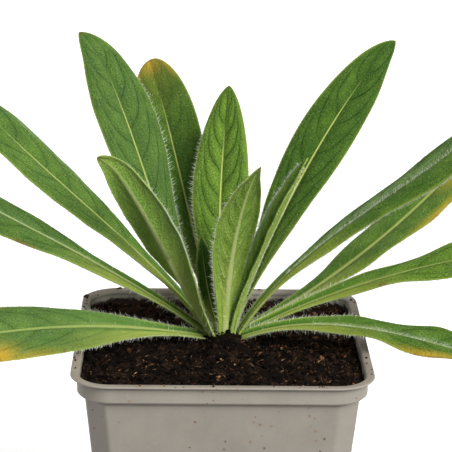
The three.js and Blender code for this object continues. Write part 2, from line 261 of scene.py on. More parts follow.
# Lower face: duller and yellower, with the midrib and the net standing out pale
lowerFace = {
    "name": "leaf cuticle, lower face",
    "deep": "#527a22", "mid": "#6a912e", "light": "#97b848",
    "net": "#7f9d46", "netShare": 0.16, "speck": "#94ab5c", "speckShare": 0.16,
    "vein": "#b6c680", "veinShare": 0.6, "secondShare": 0.5, "veinRaise": 1, "valleyShade": 0.05,
    "rib": "#b2be7a", "ribTip": "#8fa653", "ribFrom": 2.2, "ribTo": 1.2, "ribFade": (0.75, 1.0),
    "ribSideShade": 0.12,
    "stripesAndLitSide": [(0, "#b6c95e"), (0.15, "#9abb48"), (0.3, "#c2cd6e"), (0.7, "#c2cd6e"),
                (0.85, "#9abb48"), (1, "#b6c95e")],
    "stalkEnd": 0.6,
    "margin": "#a3b552", "roughness": 0.62,
}

# Half the width of a side vein in millimetres, and how far those of one side lie from those of
# the other, as a share of their pitch
sideVein = {"half": 0.2, "offset": 0.45}


def leafCuticle(face):
    material, add = newMaterial(face["name"])
    spot = add("Attribute", out="Vector", attribute_name="leafMm")
    leafValues = ("along", "side", "near", "edge", "rib", "vein", "pitch", "tone", "haze",
                  "veinShow", "ribShow", "stalkShow", "silver", "yellow", "brown")
    at = {name: add("Attribute", out="Fac", attribute_name=name) for name in leafValues}
    # Green in patches of about 7 mm, and a grain of 0.5 mm
    patches = add("TexNoise", {"Vector": spot, "Scale": 1 / 7, "Detail": 4})
    patches = add("Math", [patches, 0.6, at["tone"]], operation="MULTIPLY_ADD")
    green = add("ValToRGB", [patches],
                stops=[(0, face["deep"]), (0.35, face["mid"]), (0.8, face["light"])])
    grain = add("TexNoise", {"Vector": spot, "Scale": 1 / 0.5, "Detail": 3, "Roughness": 0.7})
    grainTone = add("MapRange", [grain, 0.32, 0.68, 0.36, 1.42])
    green = add("VectorMath", {0: green, "Scale": grainTone}, operation="SCALE")
    # The net and the side veins end at the midrib and at the stalk
    offRib = add("MapRange", [at["rib"], 1.2, 2.6])
    bladeOnly = add("MapRange", [at["along"], 0.14, 0.36, 0, offRib])
    veinShow = add("Math", [bladeOnly, at["veinShow"]], operation="MULTIPLY")
    net = add("TexVoronoi", {"Vector": spot, "Scale": 1 / 1.3}, feature="DISTANCE_TO_EDGE")
    netLine = add("MapRange", [net, 0.02, 0.16, face["netShare"], 0])
    # Short hairs, drawn as pale specks of about 0.35 mm so that they show
    speck = add("TexNoise", {"Vector": spot, "Scale": 1 / 0.35, "Detail": 1})
    speck = add("MapRange", [speck, 0.5, 0.72])
    # Each layer has a mask, a strength and a colour
    layers = [(netLine, bladeOnly, face["net"]), (speck, face["speckShare"], face["speck"])]
    # Side veins, where the phase passes a whole number, and finer ones half-way. Pitch is the
    # distance between two of them
    wobble = add("TexNoise", {"Vector": spot, "Scale": 1 / 9, "Detail": 1})
    wobble = add("MapRange", [wobble, 0.2, 0.8, -0.12, 0.12])
    other = add("Math", [at["side"], 0], operation="LESS_THAN")
    other = add("Math", [other, sideVein["offset"], wobble], operation="MULTIPLY_ADD")
    phase = add("Math", [at["vein"], other], operation="ADD")
    veins = []
    for shift, share, wide in ((0, "veinShare", 1), (0.5, "secondShare", 0.7)):
        wave = add("Math", [phase, shift], operation="ADD")
        wave = add("Math", [wave, 0.5], operation="PINGPONG")
        away = add("Math", [wave, at["pitch"]], operation="MULTIPLY")
        if not shift:  # painted shade: the blade is a little darker for 1.6 mm on both sides of a side vein, in its valley
            valleyShade = add("MapRange", [away, 1.6, 0, 0, veinShow])
            layers.append((valleyShade, face["valleyShade"], face["deep"]))
        veins.append(add("MapRange", [away, wide * sideVein["half"], 0.04, 0, veinShow],
                         interpolation_type="SMOOTHSTEP"))
        layers.append((veins[-1], face[share], face["vein"]))
    # Stalk with its pale and green bands and its front side painted paler as painted light, margin,
    # the painted shade beside the midrib, and the midrib itself
    stripesAndLitSide = add("ValToRGB", [at["near"]], stops=face["stripesAndLitSide"])
    stalk = add("MapRange", [at["along"], face["stalkEnd"], 0.12, 0, 0.85])
    margin = add("MapRange", [at["edge"], 0.6, 0.15])
    # Painted shade beside the midrib, where the blade dips into its groove
    beside = add("MapRange", [at["rib"], 3.4, 1.3])
    rib = add("MapRange", [at["rib"], face["ribFrom"], face["ribTo"], 0, 0.92])
    towardsTip = add("MapRange", [at["along"], *face["ribFade"]])
    ribTone = add("Mix", {0: towardsTip, 6: face["rib"], 7: face["ribTip"]}, out=2,
                  data_type="RGBA")
    # Hairs that lie along the blade, with painted sheen over them: a greying all over, and a paler
    # grey-green where they are thick
    stretched = add("Mapping", {"Vector": spot, "Scale": (0.12, 1.6, 1)})
    streak = add("TexNoise", {"Vector": stretched, "Scale": 1, "Detail": 3})
    haze = add("MapRange", [streak, 0.3, 0.7, 0.6, 1.4])
    silver = add("MapRange", [streak, 0.36, 0.66, 0.15, 1])
    layers += [(stalk, at["stalkShow"], stripesAndLitSide), (margin, 0.5, face["margin"]),
               (beside, face["ribSideShade"], face["deep"]), (rib, at["ribShow"], ribTone),
               (haze, at["haze"], "#82a464"), (silver, at["silver"], "#b9c9ae"),
               (at["yellow"], 1, "#cfa935"), (at["brown"], 1, "#7a4a22")]
    for mask, strength, over in layers:
        share = add("Math", [mask, strength], operation="MULTIPLY")
        green = add("Mix", {0: share, 6: green, 7: over}, out=2, data_type="RGBA")
    bumped = add("Bump", {"Strength": 0.7, "Distance": 0.0005, "Height": veins[0]},
                 invert=face["veinRaise"] < 0)
    netHeight = add("MapRange", [net, 0, 0.25])
    netHeight = add("Math", [netHeight, bladeOnly], operation="MULTIPLY")
    bumped = add("Bump", {"Strength": 0.5, "Distance": 0.0003, "Height": netHeight,
                          "Normal": bumped}, invert=face["veinRaise"] > 0)
    bumped = add("Bump", {"Strength": 1.0, "Distance": 0.0005, "Height": grain, "Normal": bumped})
    add("OutputMaterial", [add("BsdfPrincipled", {
        "Base Color": green, "Roughness": face["roughness"], "Normal": bumped, "IOR": 1.42,
        "Specular IOR Level": 0.14, "Sheen Weight": 0.015, "Sheen Roughness": 0.5,
        "Sheen Tint": "#dfe8cf"})])
    return material


# Plant bristle: a stiff clear hair that scatters light, so it looks white with a green base
def whiteBristle():
    material, add = newMaterial("white bristle")
    height = add("Attribute", out="Fac", attribute_name="tone")
    colour = add("ValToRGB", [height], stops=[(0, "#a9b685"), (0.3, "#cdd5b5"), (1, "#f1f3ea")])
    add("OutputMaterial", [add("BsdfPrincipled", {
        "Base Color": colour, "Roughness": 0.4, "IOR": 1.5, "Sheen Weight": 0.3})])
    return material


# Young stem tissue at the ground: pale green and fibrous, mostly under the peat
def stemTissue():
    material, add = newMaterial("young stem tissue")
    spot = add("TexCoord", out="Object")
    fibre = add("Mapping", {"Vector": spot, "Scale": (1, 1, 0.2)})
    strands = add("TexNoise", {"Vector": fibre, "Scale": 1000 / 1.2, "Detail": 4})
    colour = add("ValToRGB", [strands], stops=[(0.3, "#6f7b3c"), (0.7, "#a5ae63")])
    bumped = add("Bump", {"Strength": 0.5, "Distance": 0.0003, "Height": strands})
    add("OutputMaterial", [add("BsdfPrincipled", {
        "Base Color": colour, "Roughness": 0.6, "Normal": bumped})])
    return material


# Matt white paper sweep
def whitePaper():
    material, add = newMaterial("white paper")
    spot = add("TexCoord", out="Object")
    pulp = add("TexNoise", {"Vector": spot, "Scale": 1000 / 3, "Detail": 2})
    colour = add("ValToRGB", [pulp], stops=[(0.3, "#f3f3f2"), (0.7, "#f6f6f5")])
    add("OutputMaterial", [add("BsdfPrincipled", {
        "Base Color": colour, "Roughness": 0.9, "Emission Color": "#ffffff",
        "Emission Strength": 0.4})])
    return material


potPlastic = mouldedPolypropylene()
peat = moistPeat()
looseBits = loosePeat()
leafUpper = leafCuticle(upperFace)
leafLower = leafCuticle(lowerFace)
bristleWhite = whiteBristle()
stem = stemTissue()
print("materials made")


def lerp(a, b, share):
    return a + (b - a) * share


def smoothstep(value, low, high):
    share = np.clip((value - low) / (high - low), 0, 1)
    return share * share * (3 - 2 * share)


def applyModifier(obj, kind, **settings):
    modifier = obj.modifiers.new(kind.lower(), kind)
    for name, value in settings.items():
        setattr(modifier, name, value)
    bpy.ops.object.modifier_apply(modifier=modifier.name)


def openMesh():
    bpy.ops.object.mode_set(mode="EDIT")
    bpy.ops.mesh.select_all(action="SELECT")


def closeMesh():
    bpy.ops.mesh.select_all(action="SELECT")
    bpy.ops.mesh.normals_make_consistent(inside=False)
    bpy.ops.object.mode_set(mode="OBJECT")


def only(obj):
    bpy.ops.object.select_all(action="DESELECT")
    obj.select_set(True)
    bpy.context.view_layer.objects.active = obj


def meshPoints(mesh):
    points = np.empty(len(mesh.vertices) * 3)
    mesh.vertices.foreach_get("co", points)
    return points.reshape(-1, 3)


def setPoints(mesh, points):
    mesh.vertices.foreach_set("co", points.ravel())
    mesh.update()


def setAttribute(mesh, name, values, kind="FLOAT"):
    attribute = mesh.attributes.new(name, kind, "POINT")
    attribute.data.foreach_set("vector" if kind == "FLOAT_VECTOR" else "value", np.ravel(values))


def settle(obj, name, replaced=None):
    obj.name = name
    obj.data.name = name
    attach(obj, "root")
    if replaced:
        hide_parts(replaced)


# Copies of one small model in one mesh. Each copy has its place and its three scaled axes
def scatter(model, places, axes, tones, tipTone=False):
    points = meshPoints(model.data)
    faces = [list(face.vertices) for face in model.data.polygons]
    count, size = len(places), len(points)
    moved = np.einsum("nij,mj->nmi", axes, points) + places[:, None, :]
    starts = np.arange(count)[:, None, None] * size
    allFaces = (np.array(faces)[None, :, :] + starts).reshape(-1, len(faces[0]))
    mesh = bpy.data.meshes.new("copies")
    mesh.from_pydata((moved.reshape(-1, 3) * mm).tolist(), [], allFaces.tolist())
    tones = np.repeat(tones, size)
    if tipTone:
        tones *= np.tile(0.25 + 0.75 * points[:, 2] / points[:, 2].max(), count)
    setAttribute(mesh, "tone", tones)
    obj = bpy.data.objects.new("copies", mesh)
    bpy.context.scene.collection.objects.link(obj)
    return obj


# Pot: half widths from the axis to the flat side. The lip and the skirt have round corners. The
# body's corners are cut off flat, and bodyRound softens the two edges of the cut
pot = {
    "height": 95, "wall": 0.8, "floor": 1.2,
    "lipHalf": 45, "lipInnerHalf": 42.9, "lipThickness": 0.6, "lipCorner": 11.8,
    "skirtHalf": 43.1, "skirtDrop": 6.2, "skirtCorner": 10.7,
    "bodyTopHalf": 40.8, "bodyTopCorner": 7, "baseHalf": 32.2, "baseCorner": 6, "bodyRound": 2.2,
    "edgeRound": 0.6, "perCorner": 11,  # odd, so that no point lies in the middle of a corner
    "holeRadius": 3.5, "holeOffset": 17, "softEdge": 0.2,
}
stepZ = pot["height"] - pot["skirtDrop"]


# The pot's rings, up the outside, over the lip and down the inside to the floor, each as half
# width, corner, rounding and height
def potRings(size):
    base, edge, wall = size["baseHalf"], size["edgeRound"], size["wall"]
    top, thin = size["height"], size["lipThickness"]
    lip = np.array([size["lipHalf"], size["lipCorner"]])
    skirt = np.array([size["skirtHalf"], size["skirtCorner"]])
    lipInner, wallInner = lip - size["lipHalf"] + size["lipInnerHalf"], skirt - wall
    soft = thin / 4
    rings = []
    for level, depth, z in ((0, edge, 0), (edge, 0, edge), (stepZ, 0, stepZ),
                            (stepZ, wall, stepZ + wall), (size["floor"], wall, size["floor"])):
        half = lerp(base, size["bodyTopHalf"], level / stepZ) - depth
        corner = lerp(size["baseCorner"], size["bodyTopCorner"], level / stepZ) - depth
        rings.append((half, corner, size["bodyRound"] - depth, z))
    squares = [
        (skirt - edge, stepZ), (skirt, stepZ + edge), (skirt, top - thin), (lip - soft, top - thin),
        (lip, top - thin + soft), (lip, top - soft), (lip - soft, top), (lipInner, top),
        (lerp(wallInner, lipInner, 0.55), top - thin * 0.25),
        (lerp(wallInner, lipInner, 0.17), top - thin), (wallInner, top - 2 * thin),
        (wallInner, stepZ + wall)]
    return rings[:3] + [(half, corner, corner, z) for (half, corner), z in squares] + rings[3:]


# Moves the selected points, which lie on the ring before, to the next ring at the same angles
def setRing(obj, before, ring):
    edit = bmesh.from_edit_mesh(obj.data)
    lastHalf, lastCorner, lastRound, _ = before
    half, corner, rounding, z = ring
    for vertex in edit.verts:
        if vertex.select:
            x, y = vertex.co.x / mm, vertex.co.y / mm
            sideways = abs(x) > abs(y)
            centreX, centreY = (lastRound, lastCorner) if sideways else (lastCorner, lastRound)
            angle = math.atan2(abs(y) - lastHalf + centreY, abs(x) - lastHalf + centreX)
            centreX, centreY = (rounding, corner) if sideways else (corner, rounding)
            vertex.co.x = math.copysign(half - centreX + rounding * math.cos(angle), x) * mm
            vertex.co.y = math.copysign(half - centreY + rounding * math.sin(angle), y) * mm
            vertex.co.z = z * mm
    bmesh.update_edit_mesh(obj.data)


def makePot(size):
    rings = potRings(size)
    half, corner = rings[0][:2]
    bpy.ops.mesh.primitive_plane_add(size=2 * half * mm)
    obj = bpy.context.object
    openMesh()
    bpy.ops.mesh.bevel(offset=corner * mm, offset_type="OFFSET", segments=size["perCorner"],
                       affect="VERTICES", clamp_overlap=True)
    bpy.ops.mesh.select_all(action="SELECT")
    before = (half, corner, corner, 0)
    setRing(obj, before, rings[0])
    for before, ring in zip(rings, rings[1:]):
        bpy.ops.mesh.extrude_region_move()
        setRing(obj, before, ring)
    closeMesh()
    return obj


def drillPot(obj, size):
    bpy.ops.mesh.primitive_cylinder_add(vertices=32, radius=size["holeRadius"] * mm,
                                        depth=6 * size["floor"] * mm)
    drill = bpy.context.object
    for sideX in (1, -1):
        for sideY in (1, -1):
            drill.location = (sideX * size["holeOffset"] * mm, sideY * size["holeOffset"] * mm, 0)
            bpy.context.view_layer.update()
            only(obj)
            applyModifier(obj, "BOOLEAN", operation="DIFFERENCE", object=drill, solver="EXACT")
    bpy.data.objects.remove(drill)


potPiece = makePot(pot)
drillPot(potPiece, pot)
only(potPiece)
applyModifier(potPiece, "BEVEL", width=pot["softEdge"] * mm, segments=2, limit_method="ANGLE",
              angle_limit=math.radians(40))
bpy.ops.object.shade_smooth_by_angle(angle=math.radians(35))
potPiece.data.materials.append(potPlastic)
settle(potPiece, "nursery_pot", "pot")
print("pot:", len(potPiece.data.polygons), "faces")

soil = {
    "frontDrop": 2.6, "backDrop": 4.7,
    # x, y, height and reach of the mound, of the peat closed round the stalks, and of the heap
    "rises": [(1, 4, 1, 16), (1, 4, 1.8, 7.5), (1.5, -5.5, 4.6, 5.5)],
    "gap": 0.3, "steps": 180, "lumpSize": 3.4, "lumpHeight": 3.4, "gritSize": 1.0,
    "gritHeight": 0.5,
    # Each kind has its count, its smallest and largest reach, how thin it is if it is flat, and how
    # pale it is
    "crumbs": (3400, 0.15, 1.7, 0.66), "grains": (8000, 0.08, 0.34, 0.86),
    "chips": (120, 0.4, 1.1, 0.35, (0.55, 0.9)), "fibres": (1500, 0.35, 1.5, 0.02, (0.5, 0.88)),
    "straws": (50, 0.9, 2.0, 0.04, (0.8, 1.0)),
    # Bits on the lip: their count, half of their run along a side, their band across it, and the
    # clumps that stuck there, each as x, y, spread and count
    "lipBits": 60, "lipRun": 34, "lipBand": (43.2, 44.5),
    "stuckBits": [(-43.8, 35.5, 1.6, 5), (-33, 43.5, 1.2, 3), (-43.7, 20, 2, 3)], "seed": 11,
}
wallHalf = pot["skirtHalf"] - pot["wall"]
ledgeZ = stepZ + pot["wall"]


def soilHeight(x, y):
    drop = lerp(soil["frontDrop"], soil["backDrop"], (y + wallHalf) / (2 * wallHalf))
    height = pot["height"] - drop
    for placeX, placeY, rise, reach in soil["rises"]:
        height += rise * np.exp(-((x - placeX) ** 2 + (y - placeY) ** 2) / reach ** 2)
    return height


# A point of the unit square, moved into a square with round corners
def roundOff(a, b, half, corner):
    share = np.maximum(np.maximum(abs(a), abs(b)), 1e-9)
    x, y = a / share * half, b / share * half
    centre = half - corner
    dx, dy = abs(x) - centre, abs(y) - centre
    cornered = (dx > 0) & (dy > 0)
    length = np.maximum(np.hypot(dx, dy), 1e-9)
    x = np.where(cornered, np.sign(x) * (centre + dx / length * corner), x)
    y = np.where(cornered, np.sign(y) * (centre + dy / length * corner), y)
    return x * share, y * share


def makeSoil(size):
    inset = pot["wall"] + size["gap"]
    topHalf, topCorner = pot["skirtHalf"] - inset, pot["skirtCorner"] - inset
    # A little less than the pot leaves, to clear its cut-off corners
    neck, foot = ((pot[level] - inset) * 0.99 for level in ("bodyTopHalf", "baseHalf"))
    steps = size["steps"]
    bpy.ops.mesh.primitive_grid_add(x_subdivisions=steps, y_subdivisions=steps, size=2)
    obj = bpy.context.object
    points = meshPoints(obj.data)
    x, y = roundOff(points[:, 0], points[:, 1], topHalf, topCorner)
    setPoints(obj.data, np.stack([x, y, soilHeight(x, y)], 1) * mm)
    for kind, grain, rise in (("CLOUDS", size["lumpSize"], size["lumpHeight"]),
                              ("VORONOI", size["gritSize"], size["gritHeight"])):
        texture = bpy.data.textures.new(kind.lower(), kind)
        texture.noise_scale = grain * mm
        applyModifier(obj, "DISPLACE", texture=texture, direction="Z", strength=rise * mm,
                      mid_level=0.5)
    # The peat stays above the pot's ledge
    points = meshPoints(obj.data) / mm
    overLedge = np.maximum(abs(points[:, 0]), abs(points[:, 1])) > neck - 0.5
    lowest = ledgeZ + size["gap"] + 0.05
    points[:, 2] = np.where(overLedge, np.maximum(points[:, 2], lowest), points[:, 2])
    setPoints(obj.data, points * mm)
    # Down the walls, over the ledge and down to the floor
    bpy.ops.object.mode_set(mode="EDIT")
    bpy.ops.mesh.select_all(action="DESELECT")
    bpy.ops.mesh.select_mode(type="EDGE")
    bpy.ops.mesh.select_non_manifold()
    under, bottom = ledgeZ + size["gap"], pot["floor"] + size["gap"]
    for scale, z in ((1, under), (neck / topHalf, under), (foot / neck, bottom)):
        bpy.ops.mesh.extrude_region_move()
        bpy.ops.transform.resize(value=(scale, scale, 0), center_override=(0, 0, z * mm))
    bpy.ops.mesh.edge_face_add()
    closeMesh()
    bpy.ops.object.shade_smooth_by_angle(angle=math.radians(50))
    obj.data.materials.append(peat)
    settle(obj, "peat_fill", "soil")
    return obj


soilPiece = makeSoil(soil)
print("soil:", len(soilPiece.data.polygons), "faces")


def randomTurns(draw, count):
    turns = draw.normal(size=(count, 4))
    w, x, y, z = (turns / np.linalg.norm(turns, axis=1, keepdims=True)).T
    return np.stack([
        np.stack([1 - 2 * (y * y + z * z), 2 * (x * y - z * w), 2 * (x * z + y * w)], 1),
        np.stack([2 * (x * y + z * w), 1 - 2 * (x * x + z * z), 2 * (y * z - x * w)], 1),
        np.stack([2 * (x * z - y * w), 2 * (y * z + x * w), 1 - 2 * (x * x + y * y)], 1)], 1)


def soilPlaces(draw, count):
    a, b = draw.uniform(-1, 1, (2, count))
    x, y = roundOff(a, b, wallHalf - 1.2, pot["skirtCorner"] - 2)
    return np.stack([x, y, soilHeight(x, y)], 1)


# One lump of peat: a small ball pushed out of round
def lumpModel():
    bpy.ops.mesh.primitive_ico_sphere_add(subdivisions=2, radius=1)
    lump = bpy.context.object
    texture = bpy.data.textures.new("lump", "CLOUDS")
    texture.noise_scale = 0.8
    applyModifier(lump, "DISPLACE", texture=texture, strength=1.1, mid_level=0.5)
    applyModifier(lump, "DECIMATE", ratio=0.3)
    openMesh()
    bpy.ops.mesh.quads_convert_to_tris()
    bpy.ops.object.mode_set(mode="OBJECT")
    return lump


# One splinter: a long ball of few faces, for bark chips and for straw
def splinterModel():
    bpy.ops.mesh.primitive_ico_sphere_add(subdivisions=1, radius=1)
    splinter = bpy.context.object
    applyModifier(splinter, "DECIMATE", ratio=0.4)
    return splinter


def looseSoil(size):
    draw = np.random.default_rng(size["seed"])
    lump, splinter = lumpModel(), splinterModel()
    heapX, heapY = size["rises"][-1][:2]
    made = []
    for model, (count, low, high, pale) in ((lump, size["crumbs"]), (splinter, size["grains"])):
        reach = lerp(low, high, draw.beta(1, 5, count))
        stretch = reach[:, None] * draw.uniform(0.5, 1.1, (count, 3))
        places = soilPlaces(draw, count)
        places[:, 2] += reach * 0.4 + 0.15
        # Darker at the front, redder at the back and patchy, and paler and browner towards the
        # right:
        # painted light on the side that the key lamp comes from
        tones = draw.beta(1.3, 2.4, count) * pale
        x, y = places.T[:2]
        tones += 0.1 * np.sin(x / 2.9 + 1) * np.sin(y / 2.3 + x / 7)
        tones += 0.1 * np.exp(-((x - heapX) ** 2 + (y - heapY) ** 2) / 11 ** 2)
        tones += 0.12 * smoothstep(y, -30, 20) + 0.18 * smoothstep(x, 0, 30) - 0.06
        made.append(scatter(model, places, randomTurns(draw, count) * stretch[:, None, :], tones))
    for count, low, high, thin, pale in (size["chips"], size["fibres"], size["straws"]):
        reach = draw.uniform(low, high, count)
        stretch = np.stack([reach, reach * thin + 0.05, reach * thin * 0.5 + 0.04], 1)
        turns = randomTurns(draw, count)
        turns[:, 2, 0] *= 0.5  # lies nearly flat
        places = soilPlaces(draw, count) + (0, 0, 0.6)
        tones = draw.uniform(*pale, count)
        made.append(scatter(splinter, places, turns * stretch[:, None, :], tones))
    # Bits left on the lip when the pot was filled, and clumps that stuck there
    count = size["lipBits"]
    side = draw.integers(0, 4, count)
    run = draw.uniform(-size["lipRun"], size["lipRun"], count)
    off = draw.uniform(*size["lipBand"], count)
    x = np.choose(side, [run, off, run, -off])
    y = np.choose(side, [-off, run, off, run])
    reach = draw.uniform(0.14, 0.42, count)
    for placeX, placeY, spread, bits in size["stuckBits"]:
        along = draw.normal(0, spread / 2, bits)
        over = draw.normal(0, 0.35, bits)
        onSide = abs(placeX) > abs(placeY)
        x = np.append(x, placeX + (over if onSide else along))
        y = np.append(y, placeY + (along if onSide else over))
        reach = np.append(reach, draw.uniform(0.2, 0.55, bits))
    count = len(x)
    stretch = reach[:, None] * draw.uniform(0.6, 1.2, (count, 3))
    places = np.stack([x, y, pot["height"] + reach * 0.3], 1)
    made.append(scatter(lump, places, randomTurns(draw, count) * stretch[:, None, :],
                        draw.uniform(0.5, 0.9, count)))
    bpy.ops.object.select_all(action="DESELECT")
    for obj in made:
        obj.select_set(True)
    bpy.context.view_layer.objects.active = made[0]
    bpy.ops.object.join()
    for model in (lump, splinter):
        bpy.data.objects.remove(model)
    obj = bpy.context.object
    obj.data.materials.append(looseBits)
    settle(obj, "loose_peat")
    return obj


loosePiece = looseSoil(soil)
print("loose peat:", len(loosePiece.data.polygons), "faces")

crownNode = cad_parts["crown"]
crownNode.data.materials.clear()
crownNode.data.materials.append(stem)

blade = {
    "thickness": 0.45, "ribThickness": 1.15, "ribPower": 1.5, "tipWidth": 0.3,
    "swellStart": 0.06, "swellPower": 1.6, "waveStart": (0.15, 0.45), "waveEnd": 0.1,
    "waveShift": 0.9, "hookStart": 0.85,
    "rows": 200, "columns": 24, "rootRows": 4, "rootLength": 3.2, "rootRise": 55,
    "veinSpacing": 0.1,  # share of the leaf's length
    "veinSlant": 1.0, "veinArch": 4.0, "veinPower": 4.8, "veinStart": (0.15, 0.32),
    "veinFade": (0.6, 0.85),
    "ribHalf": (0.5, 0.1), "ribFullFrom": 14, "bladeStart": (0.12, 0.35),
    "groove": 0.45, "grooveHalf": 0.7, "bulge": 0.08, "quilt": 0.55, "quiltReach": 1.5,
    "edgeTurn": 0.4, "edgeReach": 1.4, "ruffle": 0.12, "ruffles": (5.3, 9.1),
    "channel": 0.35, "ridge": 0.12,
}
